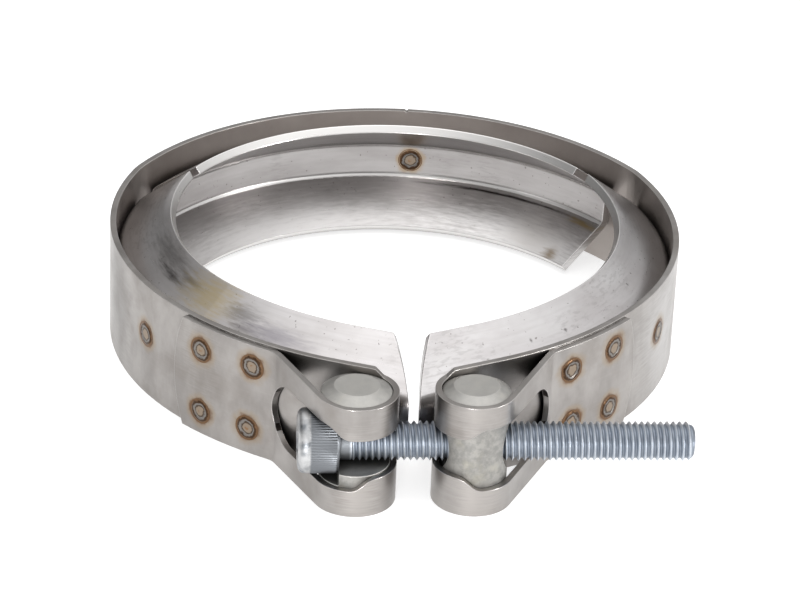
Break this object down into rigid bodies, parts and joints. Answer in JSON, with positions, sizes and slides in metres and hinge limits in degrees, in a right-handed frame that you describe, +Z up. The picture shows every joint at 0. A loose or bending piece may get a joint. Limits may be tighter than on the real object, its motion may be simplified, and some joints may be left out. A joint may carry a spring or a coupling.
{
  "type": "v band clamp",
  "caption": "Wide strap clamp with three V retainers inside, folded trunnion loops and a socket head clamping screw across the gap.",
  "frame": {"origin": "centre of the V groove: on the rear arc's axis, midway between the retainers' lips; the clamp rests on its strap's lower edge at Z = -13.75 mm", "axes": "+Z up along the ring's axis, -Y toward the gap and the screw, +X along the screw toward its tip"},
  "size_m": [0.1204, 0.1369, 0.0267],
  "materials": {
    "strap_steel": "satin stainless strip",
    "retainer_steel": "smooth formed stainless sheet",
    "trunnion_zinc": "dull zinc plate",
    "screw_zinc": "bright blue zinc plate"
  },
  "bodies": {
    "clamp_ring": {"strap": "strap_steel", "retainer_rear": "retainer_steel", "retainer_front_left": "retainer_steel", "retainer_front_right": "retainer_steel"},
    "seat_trunnion": {"trunnion_left": "trunnion_zinc"},
    "tapped_trunnion": {"trunnion_right": "trunnion_zinc"},
    "clamping_screw": {"screw": "screw_zinc"}
  },
  "joints": [
    {"name": "screw_swing", "type": "hinge", "parent": "clamp_ring", "child": "tapped_trunnion", "pos_m": [0.0117, -0.06525, -0.00125], "axis": [0, 0, 1], "range_deg": [0, 4.5]},
    {"name": "screw_turn", "type": "hinge", "parent": "tapped_trunnion", "child": "clamping_screw", "pos_m": [0.016, -0.06525, -0.00125], "axis": [1, 0, 0], "continuous": true},
    {"name": "seat_turn", "type": "hinge", "parent": "clamp_ring", "child": "seat_trunnion", "pos_m": [-0.0117, -0.06525, -0.00125], "axis": [0, 0, 1], "range_deg": [0, 4.5]}
  ],
  "couplings": [
    {"joint": "seat_turn", "follows": "screw_swing", "ratio": 1}
  ]
}
